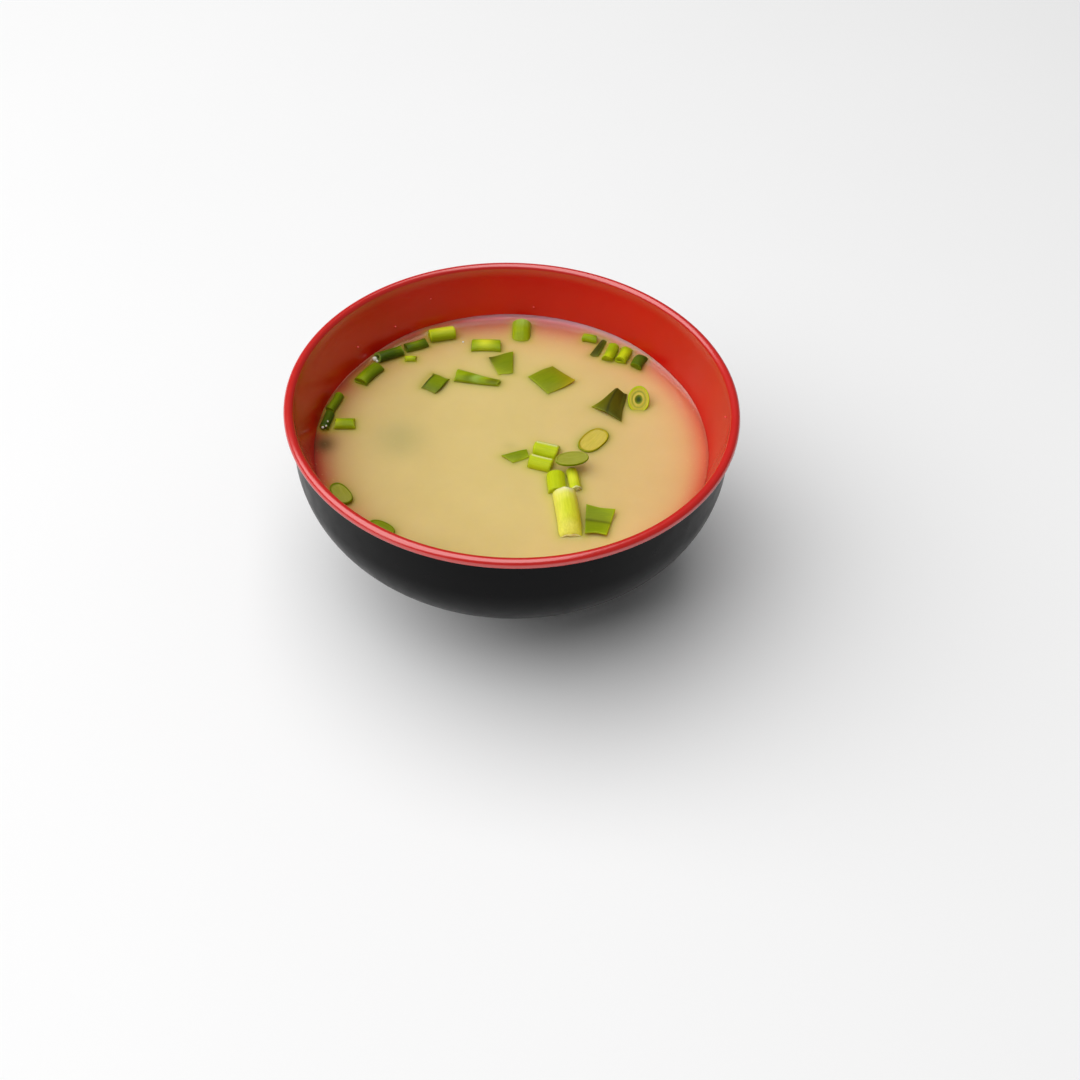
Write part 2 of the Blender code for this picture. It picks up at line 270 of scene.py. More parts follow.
def polish_lip(material):
    """Makes the red lip reflect a little more than the walls under it."""
    tree = material.node_tree
    place = add_node(tree, "ShaderNodeNewGeometry").outputs["Position"]
    height = add_node(tree, "ShaderNodeSeparateXYZ", {"Vector": place}).outputs["Z"]
    ior = remap(tree, height, BOWL_HEIGHT - 2.5 * LIP_RADIUS, BOWL_HEIGHT - LIP_RADIUS, WALL_IOR, LIP_IOR)
    tree.links.new(ior, tree.nodes["Principled BSDF"].inputs["IOR"])


def broth_material():
    """Cloudy broth: its depth, what lies under it, painted shade, a painted reflection and painted light
    round the onion are in the tint, with fine miso clouds over it.
    """
    material, tree, shader = new_material("broth")
    place = add_node(tree, "ShaderNodeNewGeometry").outputs["Position"]
    tint = add_node(tree, "ShaderNodeAttribute", attribute_name="tint").outputs["Color"]
    cloud = remap(tree, noise(tree, place, 55.0, 4.0, 0.55), 0.3, 0.7, 0.0, 1.0)
    shade = mix_colour(tree, cloud, (0.965, 0.96, 0.94, 1), (1.025, 1.025, 1.04, 1))
    dots = remap(tree, noise(tree, place, 1400.0, 1.0), 0.66, 0.8, 0.0, 0.2)
    clouded = mix_colour(tree, 1.0, tint, shade, "MULTIPLY")
    speckled = mix_colour(tree, dots, clouded, colour(BROTH * 1.06))
    tree.links.new(speckled, shader.inputs["Base Color"])
    shader.inputs["Roughness"].default_value = 0.12
    shader.inputs["IOR"].default_value = 1.4
    shader.inputs["Subsurface Weight"].default_value = 1.0
    shader.inputs["Subsurface Radius"].default_value = (1.0, 0.85, 0.5)
    shader.inputs["Subsurface Scale"].default_value = 3.6 * MM
    ripple = noise(tree, place, 90.0, 2.0)
    add_bump(tree, shader, ripple, 0.10, 0.2 * MM)
    return material


def onion_material():
    """Wet cut leaf: the tint holds its shades, painted shade and painted highlights, and fine veins run
    along the grain.
    """
    material, tree, shader = new_material("spring_onion")
    tint = add_node(tree, "ShaderNodeAttribute", attribute_name="tint").outputs["Color"]
    grain = add_node(tree, "ShaderNodeAttribute", attribute_name="grain").outputs["Vector"]
    veins = noise(tree, grain, 3.0, 3.0, 0.6)
    streak = remap(tree, veins, 0.3, 0.7, 0.0, 1.0)
    shade = mix_colour(tree, streak, (0.90, 0.92, 0.80, 1), (1.07, 1.06, 1.15, 1))
    veined = mix_colour(tree, 1.0, tint, shade, "MULTIPLY")
    tree.links.new(veined, shader.inputs["Base Color"])
    gloss = remap(tree, veins, 0.3, 0.7, 0.28, 0.42)
    tree.links.new(gloss, shader.inputs["Roughness"])
    shader.inputs["IOR"].default_value = 1.4
    shader.inputs["Specular IOR Level"].default_value = 0.15
    shader.inputs["Subsurface Weight"].default_value = 0.6
    shader.inputs["Subsurface Radius"].default_value = (0.9, 1.0, 0.2)
    shader.inputs["Subsurface Scale"].default_value = 1.3 * MM
    add_bump(tree, shader, veins, 0.25, 0.05 * MM)
    return material


# ---------------------------------------------------------------- bowl


def arc(centre, radius, start, end, steps):
    """Points (r, z) on an arc, from start to end in degrees, with both ends."""
    angles = [math.radians(start + (end - start) * i / steps) for i in range(steps + 1)]
    return [(centre[0] + radius * math.cos(a), centre[1] + radius * math.sin(a)) for a in angles]


def belly_centre():
    turn = math.radians(SHOULDER_TURN)
    reach = BELLY_RADIUS - SHOULDER_RADIUS
    return (SHOULDER_CENTRE[0] - reach * math.cos(turn), SHOULDER_CENTRE[1] - reach * math.sin(turn))


def wall_line(inset, top):
    """The bowl's side at a depth of inset in its wall, from the point top down to the belly."""
    radius = SHOULDER_RADIUS - inset
    across = top[0] - SHOULDER_CENTRE[0]
    up = top[1] - SHOULDER_CENTRE[1]
    tangent = math.atan2(up, across) - math.acos(radius / math.hypot(across, up))
    curve = arc(SHOULDER_CENTRE, radius, math.degrees(tangent), SHOULDER_TURN, 20)
    straight = [(top[0] + (curve[0][0] - top[0]) * i / 8, top[1] + (curve[0][1] - top[1]) * i / 8)
                for i in range(8)]
    return straight + curve


def floor_line(inset, height):
    """Goes on from wall_line along the belly and round a fillet to the axis at that height."""
    centre = belly_centre()
    radius = BELLY_RADIUS - inset
    drop = centre[1] - height - FLOOR_FILLET
    reach = radius - FLOOR_FILLET
    fillet = (centre[0] + math.sqrt(reach**2 - drop**2), height + FLOOR_FILLET)
    turn = -math.degrees(math.asin(drop / reach))
    belly = arc(centre, radius, SHOULDER_TURN, turn, 12)[1:]
    return belly + arc(fillet, FLOOR_FILLET, turn, -90, 8)[1:] + [(fillet[0] / 2, height), (0.0, height)]


def lip_centre():
    return (RIM_RADIUS - LIP_RADIUS, BOWL_HEIGHT - LIP_RADIUS)


def inside_line(deeper=0.0):
    """The lining's inner surface from the lip to the middle of the floor, or that much inside the wall."""
    top = (lip_centre()[0] - LIP_RADIUS + deeper, lip_centre()[1])
    return wall_line(WALL - deeper, top) + floor_line(WALL - deeper, FLOOR_HEIGHT - deeper)


def wall_radius(height):
    """The lining's inner radius at a height."""
    line = inside_line()[::-1]
    return np.interp(height, [z for r, z in line], [r for r, z in line])


def make_bowl_lining(material):
    ledge = BOWL_HEIGHT - 2 * LIP_RADIUS
    seam_depth = SHELL_WALL + SEAM
    seam_top = (BODY_RADIUS - SHELL_EDGE - SEAM, ledge)
    bead = arc(lip_centre(), LIP_RADIUS, 180, -90, 36)[1:]
    seam_floor = (FLOOR_HEIGHT + FOOT_RECESS + SEAM) / 2
    outside = wall_line(seam_depth, seam_top) + floor_line(seam_depth, seam_floor)
    points, faces = capped_grid(turned(list(reversed(inside_line())) + bead + outside, BOWL_SIDES))
    add_piece("red_lining", points, faces, material, "bowl_lining")


def make_bowl_shell(material):
    top = BOWL_HEIGHT - 2 * LIP_RADIUS - SEAM
    seam_top = (BODY_RADIUS - SHELL_EDGE, top)
    seam_floor = (FLOOR_HEIGHT + FOOT_RECESS - SEAM) / 2
    inside = wall_line(SHELL_WALL, seam_top) + floor_line(SHELL_WALL, seam_floor)
    centre = belly_centre()
    foot_turn = -math.degrees(math.acos((FOOT_JOINT_RADIUS - centre[0]) / BELLY_RADIUS))
    belly = arc(centre, BELLY_RADIUS, SHOULDER_TURN, foot_turn, 14)[1:]
    foot_inside = FOOT_RADIUS - FOOT_WIDTH
    outer_round = (FOOT_RADIUS - FOOT_ROUND, FOOT_ROUND)
    inner_round = (foot_inside + FOOT_ROUND, FOOT_ROUND)
    joint = (FOOT_RADIUS, belly[-1][1] - (FOOT_JOINT_RADIUS - FOOT_RADIUS))
    foot = [joint] + arc(outer_round, FOOT_ROUND, 0, -90, 6) + arc(inner_round, FOOT_ROUND, -90, -180, 6)
    under = [(foot_inside, FOOT_RECESS), (foot_inside / 2, FOOT_RECESS), (0.0, FOOT_RECESS)]
    outline = list(reversed(inside)) + wall_line(0.0, (BODY_RADIUS, top)) + belly + foot + under
    points, faces = capped_grid(turned(outline, BOWL_SIDES))
    add_piece("black_shell", points, faces, material, "bowl_shell", sharp=40)


# ---------------------------------------------------------------- spring onion


Lay = namedtuple("Lay", "place length width depth")

onion_shapes = []  # the points, faces and shades of each piece, which the soup is fitted to


def lay_of(node, heading, tilt=0.0):
    """A cut piece's place, with X along it, and its sizes, all from its CAD node."""
    lean = Matrix.Rotation(math.radians(-tilt), 3, "Y")
    turn = Matrix.Rotation(math.radians(heading), 3, "Z") @ lean
    corners = np.array([v.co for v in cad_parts[node].data.vertices])
    local = corners @ np.array(turn)
    low, high = local.min(axis=0), local.max(axis=0)
    middle = turn @ Vector((low + high) / 2)
    return Lay(Matrix.Translation(middle) @ turn.to_4x4(), *(high - low))


def wobble(dice, around, along, waves=4):
    """A smooth uneven field of about -1 to 1 that closes on itself around."""
    field = 0.0 * (around + along)
    for count in range(1, waves + 1):
        start, slide = dice.uniform(0, TURN), dice.uniform(-2, 2)
        field = field + np.cos(count * around + slide * along + start) / count
    return field / 2


def blend_stops(names, share):
    """Colours (…, 3) at shares of 0 to 1 along evenly spaced named greens."""
    stops = np.array([GREENS[name] for name in names])
    at = np.clip(share, 0, 1) * (len(stops) - 1)
    low = np.minimum(at.astype(int), len(stops) - 2)
    part = (at - low)[..., None]
    part = part * part * (3 - 2 * part)
    return stops[low] * (1 - part) + stops[low + 1] * part


def finish_onion(look, place, points, tint, faces, material):
    """Puts local points in place, with the grain that runs along the piece, and keeps its shape."""
    grain = points / MM * np.array([0.10, 1.0, 1.0])
    place = np.array(place)
    world = points @ place[:3, :3].T + place[:3, 3]
    over = np.clip(world[:, 2] - SOUP_LEVEL - ONION_CLIMB, 0, None)
    tint = mix(tint, mix(tint, GREENS["glow"], 0.7), 0.5 * np.exp(-over / WET_EDGE))
    add_piece("cut_" + look.node, world, faces, material, look.node, tint, grain)
    onion_shapes.append((world, faces, tint))


# A tube's stops run along it from its first end. Left and right are the colours of its flanks as seen along
# its heading: the leaf's own greens, with painted shade where one flank is darker than the other. Rim is the
# colour of its cut ends and of the inside of its hollow: on tube_back_left_a the pale rim is a painted
# highlight, and on tube_flat the near-black rim, like the night at its first end, is painted shade in its
# open slit. Slant is how far the top of its first end is cut back, in millimetres, and gape is how far its
# hollow stands open, from 0 to 1.
TubeLook = namedtuple("TubeLook", "node heading stops left right rim slant gape slot")

TUBES = (
    TubeLook("tube_back_left_a", 31, ("moss", "moss", "leaf"), "moss", "forest", "sea", 0.5, 0.6,
             "onion_dark"),
    TubeLook("tube_back_left_b", 29, ("moss", "leaf", "moss"), "moss", "moss", "moss", 0, 0.1, "onion_mid"),
    TubeLook("tube_back_left_c", 5, ("lime", "lime", "fresh"), "fresh", "fresh", "lime", 0, 0.1,
             "onion_bright"),
    TubeLook("tube_left_a", 60, ("fresh", "leaf", "leaf"), "leaf", "moss", "leaf", 0, 0.1, "onion_mid"),
    TubeLook("tube_left_b", 75, ("leaf", "leaf", "leaf"), "moss", "moss", "leaf", 0, 0.1, "onion_mid"),
    TubeLook("tube_left_c", 83, ("forest", "moss", "moss"), "forest", "forest", "leaf", 0.3, 0.7,
             "onion_dark"),
    TubeLook("tube_left_d", 5, ("lime", "fresh", "fresh"), "fresh", "fresh", "lime", 0, 0.1, "onion_bright"),
    TubeLook("tube_flat", -26, ("night", "night", "leaf", "leaf", "leaf", "leaf"), "leaf", "moss", "night",
             1.6, 0.9, "onion_mid"),
    TubeLook("tube_back", 2, ("fresh", "lemon", "fresh"), "leaf", "fresh", "leaf", 0, 0.1, "onion_pale"),
    TubeLook("tube_back_right_a", -10, ("fresh", "fresh", "leaf"), "leaf", "fresh", "fresh", 0, 0.1,
             "onion_bright"),
    TubeLook("tube_back_right_b", 71, ("lime", "fresh", "fresh"), "fresh", "fresh", "fresh", 0, 0.1,
             "onion_bright"),
    TubeLook("tube_back_right_c", 69, ("lime", "lime", "fresh"), "fresh", "fresh", "fresh", 0, 0.1,
             "onion_bright"),
    TubeLook("tube_back_right_d", 66, ("moss", "moss", "forest"), "moss", "forest", "leaf", 0, 0.2,
             "onion_dark"),
    TubeLook("tube_tapered", -11, ("fresh", "fresh", "leaf", "sea", "fresh", "olive", "olive"),
             "fresh", "leaf", "fresh", 0, 0.1, "onion_bright"),
)
TUBE_SIDES = 56
TUBE_ROWS = 28
TUBE_WALL = 0.45 * MM
TUBE_RIBS = 17
TUBE_FILL = (0.93, 0.96)  # shares of its CAD node's width and depth, which leave room for what is uneven
TAPER = 0.5  # how wide the tapered tube's narrow end is, next to its wide end
PINCH = 0.22  # how much flatter the knife leaves the cut ends


def make_tube(look, material):
    """A cut length of hollow leaf: ribbed, a little bent, flatter at its ends, which are cut unevenly."""
    dice = random.Random(look.node)
    lay = lay_of(look.node, look.heading)
    around = np.linspace(0, TURN, TUBE_SIDES, endpoint=False)[None, :]
    outer = np.linspace(-1, 1, TUBE_ROWS)
    share = np.concatenate([outer, [1.0], outer[::-1], [-1.0]])[:, None]
    skin = np.concatenate([np.ones(TUBE_ROWS), [0.5], np.zeros(TUBE_ROWS), [0.5]])[:, None]
    taper = 1.0 if look.node != "tube_tapered" else (1 + TAPER) / 2 - (1 - TAPER) / 2 * share
    uneven = 1 + 0.06 * wobble(dice, around, share * 2) + 0.012 * np.cos(TUBE_RIBS * around) * skin
    end_one, end_two = dice.uniform(0.3, 1.0), dice.uniform(0.3, 1.0)
    ends = np.clip(-share, 0, 1) ** 3 * end_one + np.clip(share, 0, 1) ** 3 * end_two
    width, depth = lay.width * TUBE_FILL[0] * taper, lay.depth * TUBE_FILL[1] * taper
    half_width = (width / 2 * (1 + 0.3 * PINCH * ends) - TUBE_WALL * (1 - skin)) * uneven
    half_depth = (depth / 2 * (1 - PINCH * ends) - TUBE_WALL * (1 - skin)) * uneven
    half_depth = half_depth * (1 - (1 - look.gape) * (1 - skin))
    cut = wobble(dice, around, 0 * share, 3) * 0.35 * MM * share
    x = share * (lay.length / 2 - 0.3 * MM) + cut + (np.abs(skin - 0.5) < 0.1) * 0.12 * MM * share
    x = x + look.slant * MM * (0.5 + 0.5 * np.sin(around)) * np.clip(-share, 0, 1) ** 2
    bend = dice.uniform(-0.25, 0.25) * MM * (share**2 - 0.4)
    y = half_width * np.cos(around) + bend
    z = half_depth * np.sin(around)
    points = np.stack([x + 0 * y, y, z], axis=2).reshape(-1, 3)
    tint = blend_stops(look.stops, (share + 1) / 2 + 0.08 * wobble(dice, around, share))
    side = np.cos(around)
    # Flank colours: where one flank is darker than the other it is painted shade.
    tint = mix(tint, GREENS[look.left], np.clip(side, 0, 1) ** 1.5 * 0.8 + 0 * share)
    tint = mix(tint, GREENS[look.right], np.clip(-side, 0, 1) ** 1.5 * 0.8 + 0 * share)
    edge = np.clip((np.abs(share) - 0.88) / 0.12, 0, 1) * 0.45 * skin + (skin < 0.9) * 0.6 + 0 * around
    tint = mix(tint, GREENS[look.rim], np.clip(edge, 0, 1))
    # Painted shade: deep inside the hollow, halfway along, the inner wall is darkened to forest.
    hollow_shade = np.clip((1 - skin) * (1 - np.abs(share)) * 3, 0, 1) * (skin < 0.1) + 0 * around
    tint = mix(tint, GREENS["forest"], hollow_shade * 0.85)
    faces = grid_faces(2 * TUBE_ROWS + 2, TUBE_SIDES, True, True)
    faces = [face[::-1] for face in faces]
    finish_onion(look, lay.place, points, tint.reshape(-1, 3), faces, material)


# A stalk's stops run along its top, and left and right are the colours of its flanks: the leaf's own greens,
# with painted shade where one flank is darker than the other, and painted light on the left flank of
# stalk_middle_d, which lies in the shadow of stalk_middle_c. Ridge raises a rib along the top and paints a
# white highlight on it, and the white at the far end of stalk_long's stops is a painted highlight too. Sunk
# is how much flatter its first end is, where it dips into the broth.
StalkLook = namedtuple("StalkLook", "node heading tilt stops left right ridge cut ragged sunk slot")

STALKS = (
    StalkLook("stalk_back_left", 17, 0, ("lime", "lemon", "lemon"), "lime", "fresh", 0, "lime", 0.1, 0,
              "onion_pale"),
    StalkLook("stalk_back", 90, 12, ("fresh", "fresh", "sea"), "fresh", "fresh", 0, "fresh", 0.1, 0.3,
              "onion_bright"),
    StalkLook("stalk_middle_a", -15, 0, ("lime", "lime", "lime"), "fresh", "lime", 1.0, "lime", 0.15, 0,
              "onion_pale"),
    StalkLook("stalk_middle_b", -15, 0, ("lime", "lime", "lime"), "lime", "lime", 1.0, "lime", 0.15, 0,
              "onion_pale"),
    StalkLook("stalk_middle_c", 95, 0, ("lime", "lime", "lime"), "lime", "lime", 0, "lime", 0.1, 0,
              "onion_pale"),
    StalkLook("stalk_middle_d", 100, 0, ("lime", "lemon", "lime"), "lemon", "lime", 0, "white", 0.2, 0,
              "onion_pale"),
    StalkLook("stalk_long", 98, 0, ("cream", "cream", "lemon", "lemon", "lemon", "cream", "white"), "cream",
              "lemon", 0, "white", 0.3, 0.55, "onion_white"),
)
STALK_SIDES = 64
STALK_ROWS = 30
STALK_ROUND = 0.4 * MM
STALK_RIBS = 14
STALK_FILL = (0.99, 0.97)  # shares of its CAD node's width and depth
LAYERS = 3  # rolled leaves that show as rings in a cut end


def make_stalk(look, material):
    """A solid length of rolled pale leaves, ribbed along its side, with rings in its cut ends."""
    dice = random.Random(look.node)
    lay = lay_of(look.node, look.heading, look.tilt)
    around = np.linspace(0, TURN, STALK_SIDES, endpoint=False)[None, :]
    face_steps = np.linspace(0, 0.92, 14)
    round_steps = np.radians([15, 35, 55, 75])
    side = np.linspace(-1, 1, STALK_ROWS)
    fine = STALK_ROUND / (lay.width / 2)
    rho_end = np.concatenate([face_steps, 1 - fine + fine * np.sin(round_steps)])
    back_end = np.concatenate([0 * face_steps, 1 - np.cos(round_steps)]) * STALK_ROUND
    rho = np.concatenate([rho_end, np.ones(STALK_ROWS), rho_end[::-1]])[:, None]
    body = (lay.length / 2 - STALK_ROUND) * side
    x = np.concatenate([-lay.length / 2 + back_end, body, lay.length / 2 - back_end[::-1]])[:, None]
    share = x / (lay.length / 2)
    on_cut = np.concatenate([np.ones(len(rho_end)), np.zeros(STALK_ROWS), np.ones(len(rho_end))])[:, None]
    rings = np.cos(rho * math.pi * 2 * LAYERS) * on_cut
    ribs = 0.010 * np.cos(STALK_RIBS * around + 2 * wobble(dice, around, share))
    uneven = 1 + 0.045 * wobble(dice, around, share * 1.5) + ribs * (1 - on_cut)
    top_angle = (around - math.pi / 2 + math.pi) % TURN - math.pi
    ridge_at = np.exp(-((top_angle + 0.35) / 0.16) ** 2)
    uneven = uneven + 0.05 * look.ridge * ridge_at
    ragged = look.ragged * MM * wobble(dice, around * 2, rho * 5, 5)
    x = x + ragged * np.sign(share) * on_cut - rings * 0.05 * MM * np.sign(share)
    x = x + 0 * around
    x[0], x[-1] = x[0].mean(), x[-1].mean()
    y = lay.width / 2 * STALK_FILL[0] * rho * np.cos(around) * uneven
    z = lay.depth / 2 * STALK_FILL[1] * rho * np.sin(around) * uneven
    z = z - (z + lay.depth / 2) * look.sunk * np.clip(-share - 0.25, 0, 1) ** 1.3 * 1.4
    grid = np.stack([x, y, z], axis=2)
    tint = blend_stops(look.stops, (share + 1) / 2 + 0.08 * wobble(dice, around, share))
    flank = np.cos(around) + 0.08 * wobble(dice, around, share * 2)
    # Flank colours: painted shade where one flank is darker, painted light where a shadowed flank is
    # lightened.
    tint = mix(tint, GREENS[look.left], np.clip(flank, 0, 1) ** 1.3)
    tint = mix(tint, GREENS[look.right], np.clip(-flank, 0, 1) ** 1.3)
    # Painted highlight: a white line along the ridge on top.
    tint = mix(tint, GREENS["white"], look.ridge * ridge_at * 0.7 * (1 - on_cut) + 0 * flank)
    cut_face = on_cut * (0.6 + 0.3 * np.cos(rho * math.pi * 2 * LAYERS)) * (rho < 0.97)
    tint = mix(tint, GREENS[look.cut], cut_face + 0 * around)
    points, faces = capped_grid(grid)
    finish_onion(look, lay.place, points, capped_values(tint), faces, material)


SliceLook = namedtuple("SliceLook", "node heading tilt square rings slot")

# Rings go from the middle out: the share of the way to the edge, and the height over the middle of the
# slice in shares of half its thickness. A slice's stops run from its middle out.
THIN_SLICE = ((0.0, 0.3), (0.4, 0.3), (0.78, 0.25), (0.86, 0.25), (0.90, 0.5), (0.93, 0.6), (0.96, 0.55))
SLICES = (
    SliceLook("slice_oval_a", 56, 0, 2.5, ("broth",) * 10 + ("gold", "leaf"), "onion_pale"),
    SliceLook("slice_oval_b", 14, 0, 2.1, ("reed",) * 12 + ("leaf",), "onion_mid"),
    SliceLook("slice_front_left", -54, 0, 2.3, ("reed",) * 10 + ("leaf", "olive"), "onion_pale"),
    SliceLook("slice_front", -28, 0, 2.3, ("leaf",) * 10 + ("olive",), "onion_mid"),
)
ROUND_RINGS = ((0.0, 0.35), (0.24, 0.35), (0.30, 0.48), (0.40, 0.5), (0.48, 0.45), (0.54, 0.42), (0.62, 0.5),
               (0.72, 0.5), (0.80, 0.48), (0.86, 0.58), (0.92, 0.62), (0.96, 0.55))
ROUND_STOPS = ("forest", "forest", "moss", "leaf", "broth", "glow", "reed", "glow", "glow", "lime", "fresh")
SLICE_SIDES = 72
SLICE_FILL = (0.98, 0.95)  # shares of its CAD node's length and width, and of its depth


def make_slice(look, rings, material):
    """A thin slice across the leaf: a raised outer ring with its skin stretched inside, or more rings."""
    dice = random.Random(look.node)
    lay = lay_of(look.node, look.heading, look.tilt)
    around = np.linspace(0, TURN, SLICE_SIDES, endpoint=False)[None, :]
    fine = np.linspace(0, rings[-1][0], 40)
    height = np.interp(fine, [r[0] for r in rings], [r[1] for r in rings])
    rho = np.concatenate([fine, [0.985, 1.0, 1.0, 0.985, 0.9, 0.5, 0.0]])[:, None]
    up = np.concatenate([height, [0.4, 0.2, -0.2, -0.4, -0.5, -0.5, -0.5]])[:, None]
    c, s = np.cos(around), np.sin(around)
    power = look.square
    squared = (np.abs(c) ** power + np.abs(s) ** power) ** (-1 / power)
    uneven = squared * (1 + 0.035 * wobble(dice, around, rho))
    x = lay.length / 2 * SLICE_FILL[0] * rho * c * uneven
    y = lay.width / 2 * SLICE_FILL[0] * rho * s * uneven
    z = lay.depth / 2 * SLICE_FILL[1] * (up + 0.08 * wobble(dice, around, rho * 2) * (rho > 0.05))
    grid = np.stack([x, y, z + 0 * x], axis=2)
    tint = blend_stops(look.rings, rho + 0.02 * wobble(dice, around * 2, rho) * (rho > 0.05))
    points, faces = capped_grid(grid)
    finish_onion(look, lay.place, points, capped_values(tint), faces, material)


# A leaf's corners are the points of its CAD node that reach furthest in these headings. The shades are
# the corners', and then the middle's.
LeafLook = namedtuple("LeafLook", "node headings bulge fold_at fold_skew fold_rise shades middle slot")

LEAVES = (
    LeafLook("leaf_diamond", (173, 88, 0, -95), 0.4, 0.5, 0.0, 0.0,
             ("leaf", "olive", "gold", "leaf"), "leaf", "onion_mid"),
    LeafLook("leaf_trapezoid", (159, 59, -33, -113), 0.3, 0.5, 0.0, 0.0,
             ("night", "leaf", "leaf", "fresh"), "leaf", "onion_mid"),
    LeafLook("leaf_sliver", (174, 65, -21, -92), 0.2, 0.5, 0.0, 0.0,
             ("leaf", "leaf", "fresh", "fresh"), "leaf", "onion_mid"),
    LeafLook("leaf_back_right", (121, 31, -62, -153), 0.3, 0.5, 0.0, 0.0,
             ("night", "moss", "forest", "night"), "night", "onion_deep"),
    # Its olive corner against its near-black corners is painted light and shade on the two facets of its
    # fold, over the leaf's own dark colour.
    LeafLook("leaf_folded_dark", (-169, 102, 26, -66), 0.2, 0.35, -0.3, 0.9,
             ("olive", "bark", "night", "night"), "bark", "onion_deep"),
    LeafLook("leaf_folded_green", (-137, -51, 37, 131), 0.1, 0.5, 0.0, -0.7,
             ("leaf", "fresh", "fresh", "leaf"), "leaf", "onion_mid"),
)
LEAF_CELLS = 28
LEAF_THICKNESS = 0.5 * MM


def leaf_corners(look):
    """The four corners, each the middle of its CAD node's points that reach furthest in its heading."""
    corners = np.array([v.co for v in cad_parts[look.node].data.vertices])
    found = []
    for heading in look.headings:
        turn = math.radians(heading)
        reach = corners[:, 0] * math.cos(turn) + corners[:, 1] * math.sin(turn)
        found.append(corners[reach > reach.max() - 0.5 * MM].mean(axis=0))
    return found


def make_leaf(look, material):
    """A cut flat piece of leaf: bulging or folded, with its edges rounded off."""
    dice = random.Random(look.node)
    corners = leaf_corners(look)
    steps = np.linspace(0, 1, LEAF_CELLS + 1)
    u, v = np.meshgrid(steps, steps, indexing="ij")
    first_edge = mix(corners[0][None, None], corners[1][None, None], v)
    last_edge = mix(corners[3][None, None], corners[2][None, None], v)
    edge_wave = 0.025 * np.sin(5 * v + dice.uniform(0, 6)) * (1 - 2 * u)
    middle = first_edge + (last_edge - first_edge) * (u + edge_wave)[..., None]
    dome = 4 * u * (1 - u) * 4 * v * (1 - v)
    from_fold = u - look.fold_at - look.fold_skew * (v - 0.5)
    ridge = np.clip(1 - 2 * np.sqrt(from_fold**2 + 0.0012), 0, 1)
    curl = 0.10 * wobble(dice, u * 3, v * 3)
    middle[..., 2] += (look.bulge * dome + look.fold_rise * ridge + curl) * MM
    inward = np.minimum(np.minimum(u, 1 - u), np.minimum(v, 1 - v))
    thick = LEAF_THICKNESS / 2 * np.clip(0.35 + inward * 14, 0.35, 1.0) ** 0.5
    top, bottom = middle.copy(), middle.copy()
    top[..., 2] += thick
    bottom[..., 2] -= thick
    shades = [GREENS[name][None, None] for name in look.shades]
    side_a = mix(shades[0], shades[1], v)
    side_b = mix(shades[3], shades[2], v)
    tint = side_a + (side_b - side_a) * u[..., None]
    tint = mix(tint, GREENS[look.middle], 0.7 * dome)
    # Painted shade: the leaf is darkened along the crease of its fold.
    tint = mix(tint, tint * 0.45, np.exp(-((from_fold / 0.05) ** 2)) * (look.fold_rise != 0))
    tint = mix(tint, tint * 1.25, np.clip(1 - inward * 22, 0, 1))
    size = LEAF_CELLS + 1
    faces = grid_faces(size, size, False, False)
    count = size * size
    faces = [face[::-1] for face in faces] + [tuple(k + count for k in face) for face in faces]
    border = ([(i, 0) for i in range(size)] + [(size - 1, j) for j in range(1, size)]
              + [(i, size - 1) for i in range(size - 2, -1, -1)] + [(0, j) for j in range(size - 2, 0, -1)])
    ring = [i * size + j for i, j in border]
    for a, b in zip(ring, ring[1:] + ring[:1]):
        faces.append((a, b, b + count, a + count))
    points = np.concatenate([top.reshape(-1, 3), bottom.reshape(-1, 3)])
    tints = np.concatenate([tint.reshape(-1, 3), tint.reshape(-1, 3)])
    centre = points.mean(axis=0)
    along = Vector(corners[1] - corners[0]).normalized()
    turn = Matrix.Rotation(math.atan2(along.y, along.x), 3, "Z")
    place = Matrix.Translation(Vector(centre)) @ turn.to_4x4()
    local = (points - centre) @ np.array(turn)
    finish_onion(look, place, local, tints, faces, material)


# ---------------------------------------------------------------- soup


# Things sunk in the broth show as soft patches: middle and half sizes in millimetres, colour, strength.
Sunk = namedtuple("Sunk", "x y half_x half_y colour strength")

SUNK = (
    Sunk(-29.0, -0.6, 7.4, 8.6, srgb(150, 152, 98), 0.36),
    Sunk(-48.1, -4.1, 3.4, 3.6, srgb(76, 70, 26), 0.75),
    Sunk(-0.4, -1.6, 2.4, 2.0, srgb(176, 164, 92), 0.25),
    Sunk(-18.0, -38.0, 6.0, 3.5, srgb(176, 168, 100), 0.18),
)

# Round the bowl, every 30 degrees from +X: how high the broth climbs the wall in millimetres, the colour of
# its climbing edge, and the colour of the wall seen through the shallow broth beside it with how far in it
# shows, in millimetres. The climbing edge is the red wall under a thin film of broth with a painted
# reflection: its pale pink from 30 to 120 degrees is the light mirrored in the meniscus. The wall seen
# through the broth is darkest at 150 to 180 degrees, and the climbing edge at 180 degrees: painted shade of
# the left wall, which lies in shade.
Shore = namedtuple("Shore", "climb line shallow fade")

